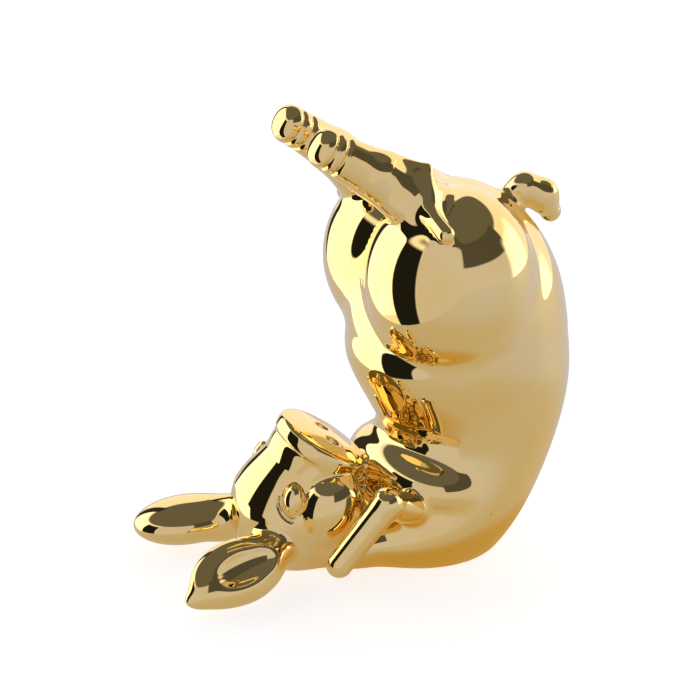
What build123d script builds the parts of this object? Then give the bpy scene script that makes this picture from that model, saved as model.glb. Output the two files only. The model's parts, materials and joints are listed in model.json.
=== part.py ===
from build123d import *
import os
from math import acos, cos, radians, sin

# Pig money bank that rests on its head and shoulders, with its rump in the air and its hind legs
# folded back over the head. +X is the pig's back, -X is where its crown and ears point, +Y is its
# left side, and Z = 0 is the floor. Lengths are in millimetres and angles in degrees.

# ---- driving dimensions ----
wall = 4.0                  # cast wall of the hollow pieces
floor_wall = 6.0            # cast wall where the bank stands

foot_depth = 68.0           # the trunk's outline on the floor
foot_width = 66.0
foot_front = 4.0            # its centre, from the shoulders' centre
shoulder_depth = 85.0       # the trunk's girth at five heights: depth X and width Y
shoulder_width = 82.0
shoulder_up = 18.0          # height of the shoulders over the floor
chest_depth = 79.0
chest_width = 82.0
chest_back = 12.0           # centres of the trunk's other girths, from the shoulders' centre
chest_up = 18.0
waist_depth = 77.0
waist_width = 78.0
waist_back = 19.0
waist_up = 34.0
belly_depth = 88.0
belly_width = 86.0
belly_back = 16.5
belly_up = 54.0
loin_depth = 80.0
loin_width = 80.0
loin_back = 14.0
loin_up = 77.0
rump_depth = 92.0           # egg of the rump, which the belly runs into
rump_width = 93.0
rump_height = 118.0
rump_back = 12.0
rump_up = 80.0
rump_lean = 8.0             # the rump's top leans toward the head by this angle
nape_depth = 44.0           # pad of the neck between the shoulders and the head, on the floor
nape_width = 60.0
nape_height = 30.0
nape_front = 41.0
nape_down = 6.0

ham_depth = 69.0
ham_width = 70.0
ham_height = 76.0
ham_front = 14.0            # the hams' centres, from the rump's centre
ham_side = 20.5
ham_up = 23.5

hoof_radius = 7.2           # the hind leg tapers from the knee to the shin and the hoof
shin_radius = 9.6
knee_radius = 15.0
hoof_front = 52.0           # places along the hind leg, from the ham's centre, but sides from the middle
hoof_side = 18.0
hoof_up = 56.0
shin_front = 32.0
shin_side = 20.0
shin_up = 44.5
knee_front = 12.0
knee_side = 26.0
knee_up = 28.5
left_hoof_lift = 3.0        # the left hoof is held a little higher than the right one
hoof_length = 8.0           # from the hoof's end to the first of its two ring grooves
groove_step = 4.5
groove_width = 1.4
groove_depth = 0.7
heel_radius = 2.4           # sharp hock, with the tendon down the back of the leg
hock_front = 12.5
hock_side = 24.0
hock_up = 46.5
tendon_radius = 2.8         # the tendon comes down to the ham, then runs out on its side
tendon_front = 16.5
tendon_side = 37.0
tendon_up = 30.5
tendon_end_radius = 3.5
tendon_end_front = 13.0
tendon_end_side = 46.0
tendon_end_up = 25.0

head_depth = 54.0
head_width = 54.0
head_height = 56.0
head_front = 59.0           # the head's centre, from the shoulders' centre
head_side = 5.0
head_up = 3.0
head_roll = 12.0            # the head leans over to the pig's right by this angle
muzzle_radius = 24.0        # muzzle, tapered toward the snout
muzzle_end_radius = 20.0
jaw_radius = 13.0
jaw_end_radius = 8.0
jaw_back = 19.0             # the jaw's end, from the head's centre
jaw_up = 12.0
eye_length = 12.0           # raised almond of each eye
eye_width = 7.6
eye_thickness = 6.0
eye_front = 9.0             # the eyes, from the head's centre
eye_up = 14.0
eye_spacing = 41.0

snout_length = 42.0         # flat nose plate at the muzzle's end
snout_width = 39.0
snout_thickness = 13.0
snout_back = 7.0            # its centre, from the head's centre
snout_up = 30.5
snout_tilt = 33.0           # its face looks up and back toward the belly
nostril_width = 4.6
nostril_length = 8.0
nostril_depth = 2.5
nostril_spacing = 13.0

ear_length = 46.0           # the left ear lies flat, and the thinner right one leans on its edge
ear_width = 32.0
ear_thickness = 19.0
right_ear_length = 44.0
right_ear_width = 29.0
right_ear_thickness = 13.0
right_ear_lean = 41.0
ear_droop = 4.0             # the ears' tips lie lower than their roots
ear_splay = 15.0
ear_front = 37.5            # centres of the ears, from the head's centre, but heights over the floor
right_ear_side = 28.0
left_ear_side = 32.0
ear_up = 9.5
ear_root_radius = 10.0      # lobe that joins each ear to the head
ear_root_back = 13.0        # where the lobe ends, from the ear's centre
ear_root_in = 5.0
ear_root_rise = 1.5
ear_root_side = 15.0        # where the lobe starts, from the head's centre

arm_radius = 7.5            # the foreleg: upper arm, elbow and hoof
elbow_radius = 6.0
forehoof_radius = 5.2
arm_front = 17.0            # places along the foreleg, from the shoulders' centre, sides from the middle
arm_side = 31.0
arm_up = 15.0
elbow_front = 37.0
elbow_side = 38.0
elbow_up = 19.0
left_elbow_tuck = 5.0       # the left elbow is held this much closer in, and lower
left_elbow_drop = 8.0
forehoof_front = 57.0
forehoof_side = 36.0
forehoof_down = 5.0

tail_radius = 6.0           # the tail is one curl: root, crest, turn and tip
tail_turn_radius = 6.5
tail_tip_radius = 3.5
tail_back = 23.0            # the tail's root, from the rump's centre
tail_up = 47.0
tail_crest_back = 6.0       # crest, turn and tip, each from the place before it
tail_crest_rise = 5.0
tail_turn_back = 9.0
tail_turn_drop = 5.0
tail_tip_back = 5.0
tail_tip_drop = 7.0
tail_twist = 2.0            # the curl winds over to the pig's right

slot_length = 36.0          # coin slot along the spine
slot_width = 5.2
slot_up = 15.0              # the slot's middle, from the rump's centre

bore_radius = 17.0          # coins come out through the bore in the base
recess_radius = 21.0        # the stopper's flange lies in a recess, clear of the floor
recess_depth = 2.6
stopper_fit = 0.08          # radial gap between the stopper and its bore
flange_gap = 0.1            # gap between the flange and the recess's roof
flange_margin = 1.0         # radial gap between the flange and the recess
flange_thickness = 1.8
stopper_wall = 3.0
stopper_lip = 3.0           # how far the plug stands up into the bank past its floor
stopper_taper = 0.6         # how much slimmer the plug's upper end is


# ---- shared shapes ----
def ball(depth, width, height):
    """Ellipsoid round the origin: a turned oval, then made wider or narrower in Y."""
    half = Ellipse(depth / 2, height / 2) & Pos(depth / 2, 0) * Rectangle(depth, 2 * height)
    turned = revolve(Plane.XZ * half, Axis.Z, 360)
    return scale(turned, by=(1, width / depth, 1))


def ellipsoid(centre, size, turn=(0, 0, 0), skin=0.0):
    """Ellipsoid with full sizes X, Y, Z, made smaller all round by skin."""
    return Pos(*centre) * Rot(*turn) * ball(*(length - 2 * skin for length in size))


def limb(start, end, start_radius, end_radius):
    """Round-ended tapered limb between two points."""
    reach = Vector(*end) - Vector(*start)
    length = reach.length
    tilt = acos((start_radius - end_radius) / length)

    def on_arc(radius, up, angle):
        return (radius * sin(angle), up + radius * cos(angle))

    start_middle = on_arc(start_radius, 0, (radians(180) + tilt) / 2)
    start_edge = on_arc(start_radius, 0, tilt)
    end_edge = on_arc(end_radius, length, tilt)
    end_middle = on_arc(end_radius, length, tilt / 2)
    outline = Curve() + [
        ThreePointArc((0, -start_radius), start_middle, start_edge),
        Line(start_edge, end_edge),
        ThreePointArc(end_edge, end_middle, (0, length + end_radius)),
        Line((0, length + end_radius), (0, -start_radius)),
    ]
    half = Plane.XZ * make_face(outline)
    return Plane(origin=start, z_dir=reach) * revolve(half, Axis.Z, 360)


def chain(points, radii):
    """Limbs end to end through the points."""
    solid = limb(points[0], points[1], radii[0], radii[1])
    for step in range(1, len(points) - 1):
        solid += limb(points[step], points[step + 1], radii[step], radii[step + 1])
    return solid


def block(low, high):
    """Box between two corners."""
    size = [abs(b - a) for a, b in zip(low, high)]
    middle = [(a + b) / 2 for a, b in zip(low, high)]
    return Pos(*middle) * Box(*size)


def shifted(point, dx=0.0, dy=0.0, dz=0.0):
    return (point[0] + dx, point[1] + dy, point[2] + dz)


# ---- places ----
far = 2 * (rump_up + rump_height)
shoulder = (0, 0, shoulder_up)
rump = shifted(shoulder, dx=rump_back, dz=rump_up)
nape = shifted(shoulder, dx=-nape_front, dz=-nape_down)
head = shifted(shoulder, dx=-head_front, dy=head_side, dz=head_up)
head_frame = Pos(*head) * Rot(head_roll, 0, 0)
snout_frame = head_frame * Pos(snout_back, 0, snout_up) * Rot(0, snout_tilt, 0)


# ---- outer forms: each is a full solid, and a later piece is cut to meet the earlier ones ----
def girth(back, up, depth, width):
    """Oval of the trunk round a point behind and over the shoulders' centre."""
    return Pos(*shifted(shoulder, dx=back, dz=up)) * Ellipse(depth / 2, width / 2)


def trunk_form(skin=0.0):
    thin = 2 * skin
    girths = [
        girth(-foot_front, -shoulder_up, foot_depth - thin, foot_width - thin),
        girth(0, 0, shoulder_depth - thin, shoulder_width - thin),
        girth(chest_back, chest_up, chest_depth - thin, chest_width - thin),
        girth(waist_back, waist_up, waist_depth - thin, waist_width - thin),
        girth(belly_back, belly_up, belly_depth - thin, belly_width - thin),
        girth(loin_back, loin_up, loin_depth - thin, loin_width - thin),
    ]
    egg = ellipsoid(rump, (rump_depth, rump_width, rump_height), (0, -rump_lean, 0), skin)
    return loft(girths) + egg + ellipsoid(nape, (nape_depth, nape_width, nape_height), skin=skin)


def ham_place(side, front=0.0, across=ham_side, up=0.0):
    """Point in front of and over the ham's centre, and across from the middle."""
    return shifted(rump, dx=-ham_front - front, dy=side * across, dz=ham_up + up)


def ham_form(side, skin=0.0):
    return ellipsoid(ham_place(side), (ham_depth, ham_width, ham_height), skin=skin)


def head_form(skin=0.0):
    skull = ellipsoid((0, 0, 0), (head_depth, head_width, head_height), skin=skin)
    snout_root = (snout_back, 0, snout_up)
    muzzle = limb((0, 0, 0), snout_root, muzzle_radius - skin, muzzle_end_radius - skin)
    jaw = limb((0, 0, 0), (jaw_back, 0, jaw_up), jaw_radius - skin, jaw_end_radius - skin)
    past_snout = snout_frame * block((-far, -far, -skin), (far, far, far))
    return head_frame * (skull + jaw) + (head_frame * muzzle - past_snout)


def snout_form():
    return snout_frame * ellipsoid((0, 0, 0), (snout_length, snout_width, snout_thickness))


def cavity_form():
    """The one hollow inside the trunk, hams and head."""
    hollow = trunk_form(wall) + head_form(wall) + ham_form(-1, wall) + ham_form(1, wall)
    return hollow - block((-far, -far, -far), (far, far, floor_wall))


# ---- pieces ----
def trunk_piece(trunk, cavity):
    bore = Pos(*shifted(shoulder, dz=-shoulder_up)) * Cylinder(bore_radius, 2 * far)
    bore &= block((-far, -far, -far), (far, far, floor_wall + wall))
    recess = Cylinder(recess_radius, 2 * recess_depth)
    slot_middle = shifted(rump, dz=slot_up)
    slot_corner = (0, -slot_width / 2, -slot_length / 2)
    slot = Pos(*slot_middle) * block(slot_corner, (far, slot_width / 2, slot_length / 2))
    return trunk - cavity - bore - recess - slot


def eye(side):
    size = (eye_width, eye_thickness, eye_length)
    return head_frame * ellipsoid((-eye_front, side * eye_spacing / 2, eye_up), size)


def nostril(side):
    size = (nostril_length, nostril_width, 2 * nostril_depth)
    return snout_frame * ellipsoid((0, side * nostril_spacing / 2, snout_thickness / 2), size)


def ear(side, across, size, lean):
    centre = (head[0] - ear_front, head[1] + side * across, ear_up)
    turn = Rot(0, 0, -side * ear_splay) * Rot(0, -ear_droop, 0) * Rot(lean, 0, 0)
    lobe_end = shifted(centre, ear_root_back, -side * ear_root_in, ear_root_rise)
    lobe = limb(shifted(head, dy=side * ear_root_side), lobe_end, ear_root_radius, ear_root_radius)
    return Pos(*centre) * turn * ball(*size) + lobe


def foreleg(side, tuck, drop):
    points = [
        shifted(shoulder, dx=-arm_front, dy=side * arm_side, dz=arm_up - drop),
        shifted(shoulder, dx=-elbow_front, dy=side * (elbow_side - tuck), dz=elbow_up - drop),
        shifted(shoulder, dx=-forehoof_front, dy=side * forehoof_side, dz=-forehoof_down),
    ]
    return chain(points, [arm_radius, elbow_radius, forehoof_radius])


def hoof_grooves(hoof, shin):
    """Two ring grooves round the hind leg, which part the hoof and its coronet."""
    axis = Vector(*shin) - Vector(*hoof)
    rings = []
    for step in range(2):
        along = hoof_length - hoof_radius + step * groove_step
        radius = hoof_radius + (shin_radius - hoof_radius) * along / axis.length
        ring = Cylinder(2 * radius, groove_width) - Cylinder(radius - groove_depth, groove_width)
        rings.append(Plane(origin=hoof, z_dir=axis) * Pos(0, 0, along) * ring)
    return rings


def hind_leg(side, lift):
    hoof = ham_place(side, hoof_front, hoof_side, hoof_up + lift)
    shin = ham_place(side, shin_front, shin_side, shin_up)
    knee = ham_place(side, knee_front, knee_side, knee_up)
    hock = ham_place(side, hock_front, hock_side, hock_up)
    tendon = ham_place(side, tendon_front, tendon_side, tendon_up)
    tendon_end = ham_place(side, tendon_end_front, tendon_end_side, tendon_end_up)
    leg = chain([hoof, shin, knee], [hoof_radius, shin_radius, knee_radius])
    for ring in hoof_grooves(hoof, shin):
        leg -= ring
    calf_radius = shin_radius - heel_radius
    leg += limb(shin, tendon, calf_radius, tendon_radius)
    radii = [calf_radius, heel_radius, tendon_radius, tendon_end_radius]
    return leg + chain([shin, hock, tendon, tendon_end], radii)


def tail_form():
    root = shifted(rump, dx=tail_back, dz=tail_up)
    crest = shifted(root, dx=tail_crest_back, dy=-tail_twist, dz=tail_crest_rise)
    turn = shifted(crest, dx=tail_turn_back, dz=-tail_turn_drop)
    tip = shifted(turn, dx=tail_tip_back, dy=tail_twist, dz=-tail_tip_drop)
    return chain([root, crest, turn, tip], [tail_radius, tail_radius, tail_turn_radius, tail_tip_radius])


def stopper():
    roof = recess_depth - flange_gap
    flange = Pos(0, 0, roof - flange_thickness / 2) * Cylinder(recess_radius - flange_margin, flange_thickness)
    radius = bore_radius - stopper_fit
    height = floor_wall + stopper_lip - roof
    plug = Cone(radius, radius - stopper_taper, height) - Cylinder(radius - stopper_wall, height)
    return flange + Pos(0, 0, roof + height / 2) * plug


def largest(shape):
    """The piece itself, without crumbs that a cut leaves."""
    return max(shape.solids(), key=lambda solid: solid.volume)


def build():
    under_floor = block((-far, -far, -far), (far, far, 0))
    trunk = trunk_form() - under_floor
    cavity = cavity_form()
    skull = head_form() - under_floor
    snout = snout_form()
    hams = {side: ham_form(side) for side in (-1, 1)}
    pieces = {"trunk_shell": trunk_piece(trunk, cavity), "stopper": stopper()}
    pieces["snout_disc"] = snout - nostril(-1) - nostril(1) - trunk
    pieces["head_shell"] = skull + eye(-1) + eye(1) - snout - trunk - cavity
    pieces["tail"] = tail_form() - trunk
    right_ear = (right_ear_length, right_ear_width, right_ear_thickness)
    ears = {
        "right": ear(-1, right_ear_side, right_ear, right_ear_lean),
        "left": ear(1, left_ear_side, (ear_length, ear_width, ear_thickness), 0),
    }
    forelegs = {"right": foreleg(-1, 0, 0), "left": foreleg(1, left_elbow_tuck, left_elbow_drop)}
    for name, side, lift in (("right", -1, 0), ("left", 1, left_hoof_lift)):
        half = block((-far, 0, -far), (far, side * far, far))
        pieces[f"ham_{name}"] = (hams[side] & half) - trunk - cavity
        pieces[f"hind_leg_{name}"] = hind_leg(side, lift) - hams[side] - trunk
        pieces[f"front_leg_{name}"] = forelegs[name] - under_floor - trunk - skull
        pieces[f"ear_{name}"] = ears[name] - under_floor - skull - trunk
    return {name: largest(piece) for name, piece in pieces.items()}


def centred(pieces):
    """Origin on the floor, under the middle of the whole bank."""
    box = Compound(list(pieces.values())).bounding_box()
    middle = Pos(-box.center().X, -box.center().Y, 0)
    return {name: middle * piece for name, piece in pieces.items()}


os.makedirs("parts", exist_ok=True)
for name, piece in centred(build()).items():
    piece.label = name
    export_step(piece, f"parts/{name}.step")
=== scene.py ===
import json
import math

import bpy
import numpy as np
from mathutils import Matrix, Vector


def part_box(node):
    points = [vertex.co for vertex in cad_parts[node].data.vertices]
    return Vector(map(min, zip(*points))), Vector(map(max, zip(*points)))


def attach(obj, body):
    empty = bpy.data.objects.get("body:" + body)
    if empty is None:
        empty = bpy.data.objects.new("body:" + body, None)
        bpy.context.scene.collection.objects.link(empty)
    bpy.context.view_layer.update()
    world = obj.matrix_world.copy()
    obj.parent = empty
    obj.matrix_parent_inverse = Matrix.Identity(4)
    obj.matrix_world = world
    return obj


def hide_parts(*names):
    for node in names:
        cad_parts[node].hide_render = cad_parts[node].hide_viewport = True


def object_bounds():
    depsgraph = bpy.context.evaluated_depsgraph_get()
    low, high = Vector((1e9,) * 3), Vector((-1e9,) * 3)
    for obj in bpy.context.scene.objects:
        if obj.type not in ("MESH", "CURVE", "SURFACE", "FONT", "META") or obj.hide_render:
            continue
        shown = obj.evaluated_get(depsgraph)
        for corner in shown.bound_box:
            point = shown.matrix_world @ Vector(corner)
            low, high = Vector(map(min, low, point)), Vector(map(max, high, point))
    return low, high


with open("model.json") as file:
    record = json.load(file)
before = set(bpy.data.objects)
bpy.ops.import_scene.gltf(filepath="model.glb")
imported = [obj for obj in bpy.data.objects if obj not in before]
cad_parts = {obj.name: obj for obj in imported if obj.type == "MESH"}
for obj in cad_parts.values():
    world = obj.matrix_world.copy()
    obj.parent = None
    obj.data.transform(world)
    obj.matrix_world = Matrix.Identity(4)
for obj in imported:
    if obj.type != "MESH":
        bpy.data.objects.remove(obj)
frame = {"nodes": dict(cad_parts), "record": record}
cad_low, cad_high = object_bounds()
MM = 1000.0

# Pig money bank with an electroplated gold glaze. The glazed skin is worked out as one smooth clay
# form around the CAD nodes, then parted along the luted joints into one piece for each node, so the
# pieces meet edge to edge. Lengths are in millimetres until a mesh is made.


# ---- places: everything is set from the middle of its own CAD node ----
MIDDLES = {node: np.array(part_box(node)).sum(0) * 0.5 * MM for node in frame["nodes"]}


def at(node, x=0.0, y=0.0, z=0.0):
    """Point x, y, z millimetres away from the middle of a CAD node's box."""
    return MIDDLES[node] + (x, y, z)


def turn(axis, degrees):
    """Rotation matrix about one axis; its columns are the turned axes."""
    c = math.cos(math.radians(degrees))
    s = math.sin(math.radians(degrees))
    return np.array({
        "x": ((1, 0, 0), (0, c, -s), (0, s, c)),
        "y": ((c, 0, s), (0, 1, 0), (-s, 0, c)),
        "z": ((c, -s, 0), (s, c, 0), (0, 0, 1)),
    }[axis])


# ---- clay: distances from a form's surface, negative inside, and ways to join them ----
def egg(points, centre, radii, axes=None):
    offset = points - centre
    if axes is not None:
        offset = offset @ axes
    radii = np.array(radii, float)
    scaled = offset / radii
    reach = np.sqrt((scaled * scaled).sum(-1)) + 1e-9
    slope = np.sqrt((scaled * scaled / radii ** 2).sum(-1)) + 1e-9
    return reach * (reach - 1) / slope


def limb(points, start, end, start_radius, end_radius):
    """Tapered limb with round ends."""
    start = np.array(start, float)
    reach = np.array(end, float) - start
    length = np.linalg.norm(reach)
    offset = points - start
    along = offset @ (reach / length)
    aside = np.sqrt(np.maximum((offset * offset).sum(-1) - along * along, 0))
    lean = (start_radius - end_radius) / length
    share = np.clip((along + aside * lean / math.sqrt(1 - lean * lean)) / length, 0, 1)
    radius = start_radius + (end_radius - start_radius) * share
    return np.sqrt((along - share * length) ** 2 + aside ** 2) - radius


def join(a, b, fillet):
    near = np.maximum(fillet - np.abs(a - b), 0) / fillet
    return np.minimum(a, b) - near ** 3 * fillet / 6


def carve(a, tool, fillet):
    return -join(-a, tool, fillet)


def scored(a, track, depth, width):
    """A soft groove of this depth and width along a track, or a ridge where the depth is negative."""
    return a + depth * np.exp(-(track / width) ** 2)


def line_through(points, places):
    """Distance from a bent line."""
    stretches = zip(places[:-1], places[1:])
    return np.min([limb(points, start, end, 0, 0) for start, end in stretches], axis=0)


def folded(points):
    """The same points brought to the pig's right side, where Y is negative."""
    right = points.copy()
    right[..., 1] = -np.abs(right[..., 1])
    return right


def tilted(up):
    """Axes of a plate that faces along up, which has no Y."""
    up = np.array(up, float) / np.linalg.norm(up)
    return np.stack([np.array((up[2], 0, -up[0])), np.array((0, 1.0, 0)), up], 1)


# ---- the pig's forms ----
SKULL = at("head_shell", 0, 0, -9.4)
HEAD_AXES = turn("x", 12)
SNOUT = np.array((8.5, 0, 31.0))
SNOUT_AXES = tilted((math.sin(math.radians(31)), 0, math.cos(math.radians(31))))
LEFT_HOOF_LIFT = 3.0
LEFT_FIN_DROP = 3.5

# The trunk's girths from the floor to the loin: height, place along X from the middle of the
# trunk's box, half depth and half width.
GIRTHS = np.array((
    (0, -3.65, 34, 33),
    (18, 0.35, 42.5, 41),
    (36, 12.35, 39.5, 41),
    (52, 19.35, 38.5, 39),
    (72, 16.85, 44, 43),
    (95, 14.35, 40, 40),
))
GIRTHS[:, 1] += at("trunk_shell")[0]
LOIN = GIRTHS[-1, 0]
LOIN_FILLET = 8
MIDDLE_CURVE, DEPTH_CURVE, WIDTH_CURVE = (np.polyfit(GIRTHS[:, 0], GIRTHS[:, i], 4) for i in (1, 2, 3))


def barrel(points):
    """The trunk from the floor to the loin, with smooth curves through its girths."""
    height = np.clip(points[..., 2], 0, LOIN)
    depth = np.polyval(DEPTH_CURVE, height)
    width = np.polyval(WIDTH_CURVE, height)
    x = points[..., 0] - np.polyval(MIDDLE_CURVE, height)
    y = points[..., 1]
    reach = np.sqrt((x / depth) ** 2 + (y / width) ** 2) + 1e-9
    slope = np.sqrt((x / depth ** 2) ** 2 + (y / width ** 2) ** 2) + 1e-9
    return carve(reach * (reach - 1) / slope, LOIN - points[..., 2], LOIN_FILLET)


BELLY_FOLD_DEPTH, BELLY_FOLD_WIDTH = 1.0, 2.5


def trunk_form(points):
    right = folded(points)
    rump = egg(right, at("trunk_shell", 12.3, 0, 19.6), (46, 46.5, 59), turn("y", -8))
    nape = egg(right, at("trunk_shell", -40.7, 0, -66.4), (22, 30, 15))
    trunk = join(join(rump, barrel(right), 12), nape, 14)
    chest = egg(right, at("trunk_shell", -4, 0, -45.4), (28, 40, 18), turn("y", 8))
    trunk = join(trunk, chest, 5)
    armpit = egg(right, at("trunk_shell", -22.5, -42, -37.4), (12, 6.5, 4), turn("z", -22))
    trunk = carve(trunk, armpit, 3)
    belly = line_through(right, [
        at("trunk_shell", -23.6, -8, -23.4),
        at("trunk_shell", -15.3, -23.6, -23.4),
        at("trunk_shell", -4.6, -32.3, -24.8),
    ])
    return scored(trunk, belly, BELLY_FOLD_DEPTH, BELLY_FOLD_WIDTH)


def ham_form(points):
    return egg(folded(points), at("ham_right", 1.9, 7.2, -3.9), (34.5, 34.5, 38))


HOOF_RADIUS, SHIN_RADIUS, KNEE_RADIUS = 8.0, 9.6, 13
CALF_RADIUS, HOCK_RADIUS, TENDON_RADIUS, ANKLE_RADIUS = 3, 2.2, 2.8, 3.5
HOOF_CUT = 6.6
HOOF_RINGS = (1.0, 5.5)
RING_DEPTH, RING_WIDTH = 0.9, 0.8
LIFT_START, LIFT_RUN = 8, 30


def hind_leg_form(points):
    """Shank with a flat hoof and two rings, and the hock's fin behind it."""
    right = folded(points)
    hoof = at("hind_leg_right", -22.4, 11.9, 13.7)
    shin = at("hind_leg_right", -2.4, 9.9, 2.2)
    knee = at("hind_leg_right", 17.6, 4.9, -13.8)
    left = points[..., 1] > 0
    lift = np.where(left, LEFT_HOOF_LIFT, 0)
    right[..., 2] -= lift * np.clip((knee[0] - LIFT_START - right[..., 0]) / LIFT_RUN, 0, 1)
    axis = (shin - hoof) / np.linalg.norm(shin - hoof)
    along = (right - hoof) @ axis
    shank = carve(limb(right, hoof, shin, HOOF_RADIUS, SHIN_RADIUS), along + HOOF_CUT, 4)
    leg = join(shank, limb(right, shin, knee, SHIN_RADIUS, KNEE_RADIUS), 4)
    for ring in HOOF_RINGS:
        leg = scored(leg, along - ring, RING_DEPTH, RING_WIDTH)
    right[..., 2] += np.where(left, LEFT_FIN_DROP, 0)
    calf = at("hind_leg_right", 4.6, 9.9, 6.2)
    hock = at("hind_leg_right", 15.9, 3.9, 4.2)
    tendon = at("hind_leg_right", 12.1, -6.6, -10.3)
    ankle = at("hind_leg_right", 13.8, -17.1, -16.3)
    fin = limb(right, calf, hock, CALF_RADIUS, HOCK_RADIUS)
    fin = join(fin, limb(right, hock, tendon, HOCK_RADIUS, TENDON_RADIUS), 2)
    fin = join(fin, limb(right, tendon, ankle, TENDON_RADIUS, ANKLE_RADIUS), 3)
    return join(leg, fin, 7)


# Lines on the face, from the middle of the skull and in the head's own axes.
TEMPLE = ((3, -15.5, 36), (-9.3, -17, 25), (-11, -20.5, 18), (-11.5, -24.5, 6), (-10, -27, -4))
MOUTH = ((5, -17.5, 36), (12, -18.7, 29.3), (20, -14, 21.5), (25, -7, 16.5), (26, 0, 15))
LIP = ((14, -19, 25), (21, -14.5, 17), (25, -6, 11))


def head_form(points):
    """Skull, muzzle cut flat for the snout disc, jaw, cheeks, and the lines of the face."""
    head = (points - SKULL) @ HEAD_AXES
    skull = egg(head, (0, 0, 0), (27, 27, 28))
    muzzle = limb(head, (-1, 0, 8), (6.5, 0, 26), 24, 19.8)
    face = (head - SNOUT) @ SNOUT_AXES[:, 2]
    muzzle = carve(muzzle, 0.5 - face, 2)
    jaw = limb(head, (4, 0, 4), (20, 0, 14), 15, 8)
    head_skin = join(join(skull, muzzle, 10), jaw, 8)
    side = folded(head)
    head_skin = scored(head_skin, line_through(side, TEMPLE), 0.8, 4)
    cheek = egg(side, (6.5, -19, 11), (14.5, 13.5, 17), turn("y", 12))
    head_skin = join(head_skin, cheek, 1.5)
    head_skin = scored(head_skin, line_through(side, MOUTH), 1.1, 1.3)
    head_skin = scored(head_skin, line_through(side, LIP), -0.9, 2.2)
    return eyed(head_skin, side)


EYE = (-10.4, -19.7, 19.0)
EYE_OUTWARD = np.array((-0.43, -0.82, 0.38))
EYE_ALONG = np.array((0.13, 0.38, 0.92))


def eye_axes():
    """Columns: along the eye, across it and out of it."""
    out = EYE_OUTWARD / np.linalg.norm(EYE_OUTWARD)
    along = EYE_ALONG - out * (EYE_ALONG @ out)
    along /= np.linalg.norm(along)
    return np.stack([along, np.cross(out, along), out], 1)


def eyed(head_skin, side):
    """Almond eyeball in a narrow moat, with a lid crease on the brow's side."""
    place = (side - np.array(EYE)) @ eye_axes()
    upper = egg(place, (0, 2.6, -1.5), (7.2, 6.6, 3.4))
    lower = egg(place, (0, -2.6, -1.5), (7.2, 6.6, 3.4))
    almond = -join(-upper, -lower, 0.6)
    head_skin = scored(head_skin, almond, 1.0, 0.9)
    crease = np.hypot(almond - 2.2, np.maximum(place[..., 0] - 1, 0) + np.maximum(-place[..., 1], 0))
    head_skin = scored(head_skin, crease, 0.7, 0.6)
    return join(head_skin, almond, 0.5)


def snout_form(points):
    head = (points - SKULL) @ HEAD_AXES
    place = (folded(head) - SNOUT) @ SNOUT_AXES
    reach = np.hypot(place[..., 0] / 20.6, place[..., 1] / 19.6)
    dome = 1.6 * (1 - np.minimum(reach, 1) ** 2)
    disc = carve((reach - 1) * 20, 3.2 - np.abs(place[..., 2] - dome - 0.6), 3.5)
    nostril = egg(place, (0.5, -5.8, 5.5), (3.4, 2.3, 3.4))
    return carve(disc, nostril, 1.5)


def ear_form(points):
    leaf = turn("z", 13) @ turn("y", -6) @ turn("x", 52)
    right = egg(points, at("ear_right", -5.1, -1.3, -1.5), (21, 13.5, 7), leaf)
    tip = egg(points, at("ear_right", -18.1, -4.6, -6), (11, 5.5, 4), leaf)
    lobe = limb(points, at("ear_right", 14.9, 9.2, 1.5), at("ear_right", 5.9, 3.2, -1.5), 9.5, 10)
    right = join(join(right, tip, 6), lobe, 4)
    hollow = egg(points, at("ear_right", -4.1, -7.6, 3.3), (15, 7.5, 4.2), leaf)
    right = carve(right, hollow, 2)
    flat = turn("z", -15) @ turn("y", -4)
    left = egg(points, at("ear_left", -6.7, 0.5, -3.5), (23, 16, 9.5), flat)
    lobe = limb(points, at("ear_left", 12.5, -12.5, 0), at("ear_left", 6, -5.5, -3), 10, 10)
    return np.minimum(right, join(left, lobe, 6))


def foreleg_form(points):
    shoulder = at("front_leg_right", 15.1, 4.3, 2.6)
    elbow = at("front_leg_right", -0.6, -3.7, 11.1)
    foot = at("front_leg_right", -20.6, -1.7, -12.4)
    right = join(limb(points, shoulder, elbow, 6.8, 6.2), limb(points, elbow, foot, 6.2, 5.4), 3)
    shoulder = at("front_leg_left", 12.5, -7.2, 4.6)
    elbow = at("front_leg_left", 0.8, -0.2, 7.6)
    foot = at("front_leg_left", -19.2, 2.8, -8.4)
    left = join(limb(points, shoulder, elbow, 7.5, 6), limb(points, elbow, foot, 6, 5.2), 3)
    return np.minimum(right, left)


def tail_form(points):
    root = at("tail", -9.8, 1.3, -0.2)
    crest = at("tail", -3.1, -0.7, 4.8)
    bend = at("tail", 4.9, -1.7, 1.2)
    tip = at("tail", 9.9, -0.7, -6.2)
    tail = join(limb(points, root, crest, 5.5, 6), limb(points, crest, bend, 6, 6.5), 6)
    return join(tail, limb(points, bend, tip, 6.5, 4.5), 6)


# Each form, the fillet that joins it on, and a ball that it lies inside, as a centre and a radius.
# The left and right forms of a pair share one ball.
FORMS = {
    "trunk": (trunk_form, 0, at("trunk_shell", 0, 0, -0.4), 130),
    "ham": (ham_form, 5, at("ham_right", 1.9, 27.8, -3.9), 66),
    "hind_leg": (hind_leg_form, 6, at("hind_leg_right", 0, 29.9, 0.2), 64),
    "head": (head_form, 7, at("head_shell", 1.7, 0, -0.4), 42),
    "snout": (snout_form, 4, at("snout_disc", 0, 0, 0.2), 27),
    "ear": (ear_form, 4, at("head_shell", -32.3, 3, -18.4), 58),
    "foreleg": (foreleg_form, 4, at("front_leg_right", -0.9, 34.3, -1.4), 58),
    "tail": (tail_form, 4, at("tail", -0.1, 0, -0.2), 24),
}
CLEAR = 9.0
FLOOR_FILLET = 3


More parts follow.
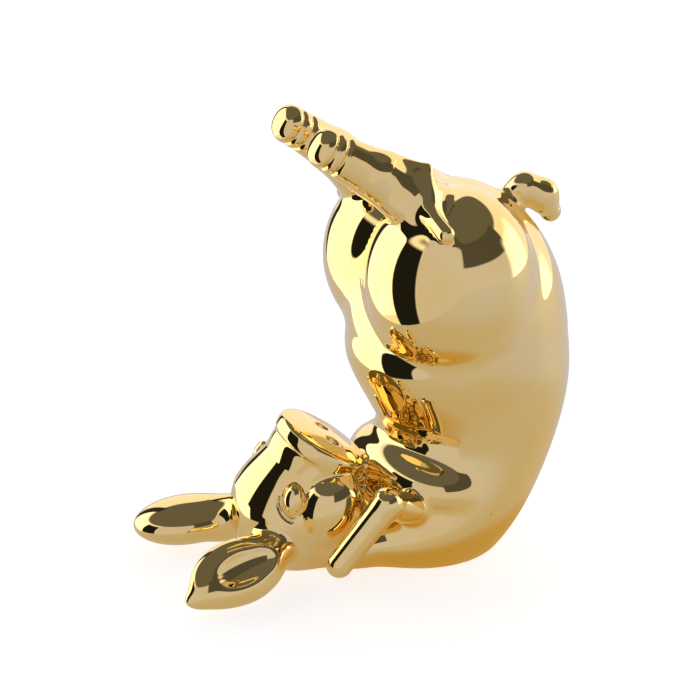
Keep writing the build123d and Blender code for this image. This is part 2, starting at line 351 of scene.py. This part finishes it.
def near_form(name, points):
    """A form's distance; points well outside its ball only get the distance from the ball."""
    form, _, centre, radius = FORMS[name]
    distance = np.sqrt(((points - centre) ** 2).sum(-1)) - radius
    near = distance < CLEAR
    distance[near] = form(points[near])
    return distance


def pig_form(points):
    """Distance from the whole outer skin, all forms run together with their fillets."""
    skin = trunk_form(points)
    for name in list(FORMS)[1:]:
        skin = join(skin, near_form(name, points), FORMS[name][1])
    return carve(skin, points[..., 2], FLOOR_FILLET)


# ---- openings of the bank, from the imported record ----
def opening(name):
    """Lowest and highest corner of an opening's box, in millimetres."""
    rows = frame["record"]["physics"]["openings"]
    low, high = next(row["box_m"] for row in rows if row["name"] == name)
    return np.array(low) * MM, np.array(high) * MM


SLOT_LOW, SLOT_HIGH = opening("coin_slot")
SLOT_MIDDLE = (SLOT_LOW + SLOT_HIGH) / 2
SLOT_HALF = (SLOT_HIGH - SLOT_LOW) / 2 + np.array((0, 0.2, 0.2))
BORE_MIDDLE = at("stopper")[:2]
RECESS_RADIUS, RECESS_DEPTH = 21.0, 2.6
BORE_RADIUS, BORE_TOP = 17.0, 14.0
SLOT_FILLET, BORE_FILLET = 2.4, 0.8


def slot_tool(points):
    past = np.abs(points - SLOT_MIDDLE) - SLOT_HALF
    outside = np.sqrt((np.maximum(past, 0) ** 2).sum(-1))
    return outside + np.minimum(past.max(-1), 0)


def bore_tool(points):
    radius = np.hypot(points[..., 0] - BORE_MIDDLE[0], points[..., 1] - BORE_MIDDLE[1])
    recess = np.maximum(radius - RECESS_RADIUS, points[..., 2] - RECESS_DEPTH)
    bore = np.maximum(radius - BORE_RADIUS, points[..., 2] - BORE_TOP)
    return np.minimum(recess, bore)


def bank_form(points):
    """The pig with its coin slot and the bore for its stopper."""
    slotted = carve(pig_form(points), slot_tool(points), SLOT_FILLET)
    return carve(slotted, bore_tool(points), BORE_FILLET)


# ---- from clay to a mesh ----
STEP = 1.1
BLOCK = 6
NEAR_BLOCKS = 1.4
CHUNK = 200000
MARGIN = 6.0


def lattice_values(form, axes):
    """The form's distances on a lattice, worked out finely only near its surface."""
    counts = [len(axis) // BLOCK for axis in axes]
    middles = [axis[:count * BLOCK].reshape(count, BLOCK).mean(1) for axis, count in zip(axes, counts)]
    blocks = np.stack(np.meshgrid(*middles, indexing="ij"), -1)
    coarse = form(blocks.reshape(-1, 3)).reshape(counts)
    near = np.abs(coarse) < BLOCK * STEP * NEAR_BLOCKS
    values = coarse
    for axis in range(3):
        values = values.repeat(BLOCK, axis)
        near = near.repeat(BLOCK, axis)
    values = values.copy()
    places = np.argwhere(near)
    for start in range(0, len(places), CHUNK):
        part = places[start:start + CHUNK]
        points = np.stack([axes[i][part[:, i]] for i in range(3)], 1)
        values[part[:, 0], part[:, 1], part[:, 2]] = form(points)
    return values


def skin_quads(values, axes):
    """One point in each lattice cell that the surface crosses, and a quad on each crossed edge."""
    inside = values < 0
    corner_steps = [(i, j, k) for i in (0, 1) for j in (0, 1) for k in (0, 1)]
    size = [n - 1 for n in values.shape]
    count = np.zeros(size, np.int8)
    for i, j, k in corner_steps:
        count += inside[i:size[0] + i, j:size[1] + j, k:size[2] + k]
    crossed = (count > 0) & (count < 8)
    cells = np.argwhere(crossed)
    number = np.full(size, -1)
    number[crossed] = np.arange(len(cells))
    total = np.zeros((len(cells), 3))
    hits = np.zeros(len(cells))
    for corner in corner_steps:
        for axis in range(3):
            if corner[axis]:
                continue
            step = np.eye(3, dtype=int)[axis]
            a = cells + corner
            b = a + step
            value_a = values[a[:, 0], a[:, 1], a[:, 2]]
            value_b = values[b[:, 0], b[:, 1], b[:, 2]]
            cut = (value_a < 0) != (value_b < 0)
            share = np.where(cut, value_a / np.where(cut, value_a - value_b, 1), 0)
            point_a = np.stack([axes[i][a[:, i]] for i in range(3)], 1)
            point_b = np.stack([axes[i][b[:, i]] for i in range(3)], 1)
            total += np.where(cut[:, None], point_a + (point_b - point_a) * share[:, None], 0)
            hits += cut
    quads = []
    for axis in range(3):
        u, v = ((1, 2), (2, 0), (0, 1))[axis]
        before = inside.take(range(0, inside.shape[axis] - 1), axis)
        after = inside.take(range(1, inside.shape[axis]), axis)
        edges = np.argwhere(before != after)
        flip = ~before[edges[:, 0], edges[:, 1], edges[:, 2]]
        ring = []
        for back_u, back_v in ((1, 1), (0, 1), (0, 0), (1, 0)):
            cell = edges.copy()
            cell[:, u] -= back_u
            cell[:, v] -= back_v
            ring.append(number[cell[:, 0], cell[:, 1], cell[:, 2]])
        ring = np.stack(ring, 1)
        ring[flip] = ring[flip][:, ::-1]
        quads.append(ring)
    return total / hits[:, None], np.concatenate(quads)


CORNERS = np.array(((1, 1, 1), (1, -1, -1), (-1, 1, -1), (-1, -1, 1)))
REACH = 0.03


def gradient(form, points):
    """Slope of a form's distance, from four points round each point."""
    return sum(corner * form(points + corner * REACH)[:, None] for corner in CORNERS) / (4 * REACH)


def settled(form, points):
    """Points moved on to the form's surface, and the directions out of it."""
    for _ in range(2):
        slope = gradient(form, points)
        move = slope * (form(points) / (slope ** 2).sum(1))[:, None]
        points = points - np.clip(move, -STEP, STEP)
    slope = gradient(form, points)
    return points, slope / np.linalg.norm(slope, axis=1)[:, None]


def finer(form, points, directions, quads):
    """Each quad split in four, with the new points settled on the surface."""
    sides = np.sort(np.concatenate([quads[:, [i, (i + 1) % 4]] for i in range(4)]), axis=1)
    pairs, where = np.unique(sides, axis=0, return_inverse=True)
    where = where.reshape(4, len(quads)) + len(points)
    middle = np.arange(len(quads)) + len(points) + len(pairs)
    added, added_directions = settled(form, np.concatenate([points[pairs].mean(1), points[quads].mean(1)]))
    split = np.concatenate([np.stack([quads[:, i], where[i], middle, where[i - 1]], 1) for i in range(4)])
    return np.concatenate([points, added]), np.concatenate([directions, added_directions]), split


def skin_of(form):
    """Points, outward directions and quads of a form's surface."""
    low = np.array(cad_low) * MM - MARGIN
    high = np.array(cad_high) * MM + MARGIN
    axes = []
    for i in range(3):
        blocks = math.ceil((high[i] - low[i]) / (STEP * BLOCK))
        axes.append(low[i] + STEP * np.arange(blocks * BLOCK))
    points, quads = skin_quads(lattice_values(form, axes), axes)
    return settled(form, points) + (quads,)


# ---- one piece for each CAD node ----
NODES = {
    "trunk": ("trunk_shell", "trunk_shell"),
    "ham": ("ham_right", "ham_left"),
    "hind_leg": ("hind_leg_right", "hind_leg_left"),
    "head": ("head_shell", "head_shell"),
    "snout": ("snout_disc", "snout_disc"),
    "ear": ("ear_right", "ear_left"),
    "foreleg": ("front_leg_right", "front_leg_left"),
    "tail": ("tail", "tail"),
}
SKIN_THICKNESS = 1.6
BROAD_PIECES = ("trunk", "ham")
# The far ends of the slot and the bore are taken off the skin, so that both open into the hollow.
OPEN_DEPTH, OPEN_EDGE, OPEN_HEIGHT = 1.2, 1.0, 3


def smooth_mesh(name, points, faces, directions):
    mesh = bpy.data.meshes.new(name)
    mesh.vertices.add(len(points))
    mesh.vertices.foreach_set("co", (points / MM).astype(np.float32).ravel())
    mesh.loops.add(faces.size)
    mesh.loops.foreach_set("vertex_index", faces.astype(np.int32).ravel())
    mesh.polygons.add(len(faces))
    mesh.polygons.foreach_set("loop_start", np.arange(0, faces.size, 4, dtype=np.int32))
    mesh.polygons.foreach_set("use_smooth", np.ones(len(faces), bool))
    mesh.update(calc_edges=True)
    mesh.validate()
    mesh.normals_split_custom_set_from_vertices(directions.tolist())
    return mesh


def hollow_piece(name, points, directions, quads):
    """A part of the skin with its own thickness, closed round its rim."""
    used, faces = np.unique(quads, return_inverse=True)
    faces = faces.reshape(quads.shape)
    outer = points[used]
    outward = directions[used]
    if not (name.startswith(BROAD_PIECES)):
        outer, outward, faces = finer(bank_form, outer, outward, faces)
    inner = outer - outward * SKIN_THICKNESS
    edges = np.concatenate([faces[:, [i, (i + 1) % 4]] for i in range(4)])
    keys = {tuple(edge) for edge in edges.tolist()}
    rim = np.array([edge for edge in edges.tolist() if (edge[1], edge[0]) not in keys])
    count = len(outer)
    sheets = [faces, faces[:, ::-1] + count]
    if len(rim):
        sheets.append(np.stack([rim[:, 1], rim[:, 0], rim[:, 0] + count, rim[:, 1] + count], 1))
    mesh = smooth_mesh(name, np.concatenate([outer, inner]), np.concatenate(sheets),
                       np.concatenate([outward, -outward]))
    piece = bpy.data.objects.new(name, mesh)
    bpy.context.scene.collection.objects.link(piece)
    return piece


def parted_skin():
    """The bank's skin, parted along its joints, with the slot and the bore open to the hollow."""
    points, directions, quads = skin_of(bank_form)
    centres = points[quads].mean(1)
    in_slot = (centres[:, 0] < SLOT_LOW[0] + OPEN_DEPTH) & (slot_tool(centres) < OPEN_EDGE)
    aside = np.hypot(centres[:, 0] - BORE_MIDDLE[0], centres[:, 1] - BORE_MIDDLE[1])
    height = centres[:, 2] - BORE_TOP
    in_bore = (height > -OPEN_DEPTH) & (height < OPEN_HEIGHT) & (aside < BORE_RADIUS + OPEN_EDGE)
    keep = ~(in_slot | in_bore)
    quads = quads[keep]
    centres = centres[keep]
    nearest = np.argmin(np.stack([near_form(name, centres) for name in FORMS], 1), 1)
    left = centres[:, 1] > 0
    pieces = {}
    for number, (key, (right_node, left_node)) in enumerate(NODES.items()):
        mine = nearest == number
        if right_node == left_node:
            pieces[right_node] = hollow_piece(right_node + "_skin", points, directions, quads[mine])
            continue
        pieces[right_node] = hollow_piece(right_node + "_skin", points, directions, quads[mine & ~left])
        pieces[left_node] = hollow_piece(left_node + "_skin", points, directions, quads[mine & left])
    return pieces


# ---- shader maths ----
class Wire:
    """A shader socket that adds Math nodes when it is used in an expression."""

    def __init__(self, tree, socket):
        self.tree = tree
        self.socket = socket

    def math(self, operation, *values, swap=False):
        terms = [self, *values]
        if swap:
            terms.reverse()
        return self.tree.add("ShaderNodeMath", {"operation": operation}, *terms)

    def __add__(self, other):
        return self.math("ADD", other)

    def __sub__(self, other):
        return self.math("SUBTRACT", other)

    def __rsub__(self, other):
        return self.math("SUBTRACT", other, swap=True)

    def __mul__(self, other):
        return self.math("MULTIPLY", other)

    __radd__ = __add__
    __rmul__ = __mul__


class Tree:
    """Node tree whose nodes are added by type, settings and inputs."""

    def __init__(self, owner):
        owner.use_nodes = True
        self.tree = owner.node_tree
        self.tree.nodes.clear()

    def add(self, kind, settings=None, *inputs, out=0, **named):
        node = self.tree.nodes.new(kind)
        for key, value in (settings or {}).items():
            setattr(node, key, value)
        wanted = list(enumerate(inputs))
        wanted += [(key.replace("_", " "), value) for key, value in named.items()]
        for key, value in wanted:
            if isinstance(value, Wire):
                self.tree.links.new(value.socket, node.inputs[key])
            else:
                node.inputs[key].default_value = value
        return Wire(self, node.outputs[out]) if node.outputs else node

    def blend(self, share, first, second):
        """Colour mixed from first to second."""
        node = self.tree.nodes.new("ShaderNodeMix")
        node.data_type = "RGBA"
        colour_a, colour_b = node.inputs[6], node.inputs[7]
        for socket, value in ((node.inputs[0], share), (colour_a, first), (colour_b, second)):
            if isinstance(value, Wire):
                self.tree.links.new(value.socket, socket)
            else:
                socket.default_value = value
        return Wire(self, node.outputs[2])

    def parts(self, vector):
        """The three numbers of a vector."""
        node = self.tree.nodes.new("ShaderNodeSeparateXYZ")
        self.tree.links.new(vector.socket, node.inputs[0])
        return [Wire(self, output) for output in node.outputs]

    def ease(self, value, low, high):
        """0 below low, 1 above high, smooth between."""
        smooth = {"interpolation_type": "SMOOTHSTEP"}
        return self.add("ShaderNodeMapRange", smooth, value, low, high, 0.0, 1.0)

    def band(self, value, low, high, soft):
        return self.ease(value, low - soft, low + soft) * (1 - self.ease(value, high - soft, high + soft))


def grey(level, warmth=0.0):
    return (level * (1 + warmth), level, level * (1 - warmth), 1.0)


# ---- finishes ----
GOLD = (1.0, 0.77, 0.34, 1.0)
DEEP_GOLD = (1.0, 0.73, 0.27, 1.0)
PINPRICK = (0.25, 0.13, 0.03, 1.0)
RUBBER = (0.025, 0.024, 0.023, 1)
DUSTY_RUBBER = (0.075, 0.07, 0.065, 1)


def gold_glaze():
    """Mirror gold plated on glaze: faint ripple from the mould, varnish tint, pin-pricks and smudges."""
    material = bpy.data.materials.new("gold_glaze")
    tree = Tree(material)
    place = tree.add("ShaderNodeTexCoord", out=3)
    tint = tree.add("ShaderNodeTexNoise", None, Vector=place, Scale=28.0, Detail=3.0)
    smudge = tree.add("ShaderNodeTexNoise", None, Vector=place, Scale=90.0, Detail=5.0, Roughness=0.6)
    ripple = tree.add("ShaderNodeTexNoise", None, Vector=place, Scale=55.0, Detail=1.0)
    peel = tree.add("ShaderNodeTexNoise", None, Vector=place, Scale=420.0, Detail=2.0)
    specks = tree.add("ShaderNodeTexVoronoi", None, Vector=place, Scale=70.0)
    prick = 1 - tree.ease(specks, 0.018, 0.035)
    colour = tree.blend(tree.ease(tint, 0.35, 0.7), GOLD, DEEP_GOLD)
    colour = tree.blend(prick * 0.8, colour, PINPRICK)
    relief = ripple + peel * 0.02
    normal = tree.add("ShaderNodeBump", None, Strength=1.0, Distance=0.00012, Height=relief)
    finish = tree.add("ShaderNodeBsdfPrincipled", None, Base_Color=colour, Metallic=1.0,
                      Roughness=0.025 + tree.ease(smudge, 0.5, 0.85) * 0.05, Normal=normal)
    tree.add("ShaderNodeOutputMaterial", None, finish)
    return material


def stopper_rubber():
    """Matt moulded rubber with dust in its grain."""
    material = bpy.data.materials.new("stopper_rubber")
    tree = Tree(material)
    place = tree.add("ShaderNodeTexCoord", out=3)
    grain = tree.add("ShaderNodeTexNoise", None, Vector=place, Scale=1400.0, Detail=3.0)
    dust = tree.add("ShaderNodeTexNoise", None, Vector=place, Scale=160.0, Detail=6.0)
    colour = tree.blend(tree.ease(dust, 0.5, 0.8), RUBBER, DUSTY_RUBBER)
    normal = tree.add("ShaderNodeBump", None, Strength=0.5, Distance=0.0001, Height=grain)
    finish = tree.add("ShaderNodeBsdfPrincipled", None, Base_Color=colour,
                      Roughness=0.62 + dust * 0.2, Normal=normal)
    tree.add("ShaderNodeOutputMaterial", None, finish)
    return material


# ---- studio: pale floor, softboxes and dark flags, all as directions round the bank ----
TABLE_END = cad_low[0] - 0.028
TABLE_EDGE = 0.004
FLOOR_HALF = 4.0
FLOOR_GAP = 0.0002
FLOOR_LEVEL = 0.72
# Painted light that gloss sees on the table, from the bank's foot outwards: an amber painted bounce glow
# at the foot, then paler, bluer painted glow farther out, over a painted darker table.
PAINTED_GOLD_BOUNCE_GLOW = (0.44, 0.30, 0.10, 1.0)
PAINTED_MID_TABLE_GLOW = (0.46, 0.43, 0.41, 1.0)
PAINTED_FAR_TABLE_GLOW = (0.46, 0.48, 0.63, 1.0)
PAINTED_DIM_TABLE_FOR_GLOSS = (0.2, 0.15, 0.07, 1.0)
PAINTED_BOUNCE_FADE = (0.048, 0.078)
PAINTED_MID_FADE = (0.09, 0.3)
ROOM = (0.62, 0.61, 0.74, 1.0)
CEILING_RISE = (40, 43)
CEILING_LEVEL = 0.13
# Each panel: degrees round the bank, degrees above the floor, both with their soft edge, and its level.
PANELS = (
    ((-8, 72, 2), (21, 48, 1), 0.08),
    ((-177, -165, 1.0), (-40, 46, 2), 0.03),
    ((-108, -72, 1.5), (-60, 36, 2), 0.012),
    ((-165, -108, 1.0), (-32, 38, 1.0), 1.6),
    ((66, 104, 6), (-28, 28, 5), 1.9),
)


def studio_floor():
    """White table. Gloss sees it darkened, with a painted glow that is amber at the bank's foot, and it
    ends on the left, where the room shows past it.
    """
    material = bpy.data.materials.new("studio_floor")
    tree = Tree(material)
    camera_ray = tree.add("ShaderNodeLightPath", out=0)
    glossy_ray = tree.add("ShaderNodeLightPath", out=3)
    x, y, _ = tree.parts(tree.add("ShaderNodeTexCoord", out=3))
    # Painted reflected light: the table glows for glossy rays only. The glow is amber near the bank's foot
    # as painted bounce light from the gold, and paler farther out. Camera rays see an even white.
    aside = x - at("trunk_shell")[0] / MM
    reach = (aside * aside + y * y).math("SQRT")
    painted_glow_and_white = tree.blend(tree.ease(reach, *PAINTED_BOUNCE_FADE), PAINTED_GOLD_BOUNCE_GLOW, PAINTED_MID_TABLE_GLOW)
    painted_glow_and_white = tree.blend(tree.ease(reach, *PAINTED_MID_FADE), painted_glow_and_white, PAINTED_FAR_TABLE_GLOW)
    painted_glow_and_white = tree.blend(glossy_ray, grey(0.0), painted_glow_and_white)
    painted_glow_and_white = tree.blend(camera_ray, painted_glow_and_white, grey(FLOOR_LEVEL))
    # Painted shade: glossy rays see the table darkened and warm-tinted, while all other rays see it white.
    colour = tree.blend(glossy_ray, grey(0.8, 0.01), PAINTED_DIM_TABLE_FOR_GLOSS)
    finish = tree.add("ShaderNodeBsdfPrincipled", None, Base_Color=colour, Roughness=0.6,
                      Emission_Color=painted_glow_and_white, Emission_Strength=1.0)
    beyond = tree.add("ShaderNodeBsdfTransparent", None, grey(1.0))
    tabletop = tree.ease(x, TABLE_END - TABLE_EDGE, TABLE_END)
    table = tree.add("ShaderNodeMixShader", None, glossy_ray * (1 - tabletop), finish, beyond)
    tree.add("ShaderNodeOutputMaterial", None, table)
    corners = [(i * FLOOR_HALF, j * FLOOR_HALF, 0) for i, j in ((-1, -1), (1, -1), (1, 1), (-1, 1))]
    mesh = bpy.data.meshes.new("studio_floor")
    mesh.from_pydata(corners, [], [(0, 1, 2, 3)])
    floor = bpy.data.objects.new("studio_floor", mesh)
    bpy.context.scene.collection.objects.link(floor)
    floor.location.z = cad_low[2] - FLOOR_GAP
    mesh.materials.append(material)


def studio_world():
    """Pale room in front of the bank, flags and a softbox left, a softbox right, dark ceiling."""
    world = bpy.data.worlds.new("studio")
    bpy.context.scene.world = world
    tree = Tree(world)
    direction = tree.add("ShaderNodeTexCoord", out=0)
    x, y, z = tree.parts(direction)
    around = x.math("ARCTAN2", y * -1.0) * (180 / math.pi)
    rise = z.math("ARCSINE") * (180 / math.pi)
    rear = grey(1.0, 0.04)
    sky = tree.blend(tree.band(around, -72, 66, 3), rear, ROOM)
    sky = tree.blend(tree.ease(rise, *CEILING_RISE), sky, grey(CEILING_LEVEL))
    for width, height, level in PANELS:
        panel = tree.band(around, *width) * tree.band(rise, *height)
        sky = tree.blend(panel, sky, grey(level))
    camera_ray = tree.add("ShaderNodeLightPath", out=0)
    sky = tree.blend(camera_ray, sky, grey(1.0))
    light = tree.add("ShaderNodeBackground", None, sky, 1.0)
    tree.add("ShaderNodeOutputWorld", None, light)


CAMERA_AIM = Vector((-0.007, 0, -0.0044))
CAMERA_AZIMUTH = math.radians(-24)
CAMERA_ELEVATION = math.radians(19)
CAMERA_DISTANCE = 0.66
LENS, SENSOR = 83.06, 36.0


def studio_camera():
    target = (cad_low + cad_high) / 2 + CAMERA_AIM
    level = math.cos(CAMERA_ELEVATION)
    back = Vector((
        math.sin(CAMERA_AZIMUTH) * level,
        -math.cos(CAMERA_AZIMUTH) * level,
        math.sin(CAMERA_ELEVATION),
    ))
    data = bpy.data.cameras.new("studio_camera")
    data.lens = LENS
    data.sensor_width = SENSOR
    camera = bpy.data.objects.new("studio_camera", data)
    camera.location = target + back * CAMERA_DISTANCE
    camera.rotation_euler = back.to_track_quat("Z", "Y").to_euler()
    bpy.context.scene.collection.objects.link(camera)
    bpy.context.scene.camera = camera


bpy.context.scene.view_settings.view_transform = "Standard"
studio_camera()
studio_floor()
studio_world()

glaze = gold_glaze()
for node, piece in parted_skin().items():
    piece.data.materials.append(glaze)
    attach(piece, "bank")
    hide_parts(node)

stopper = frame["nodes"]["stopper"]
stopper.data.materials.clear()
stopper.data.materials.append(stopper_rubber())
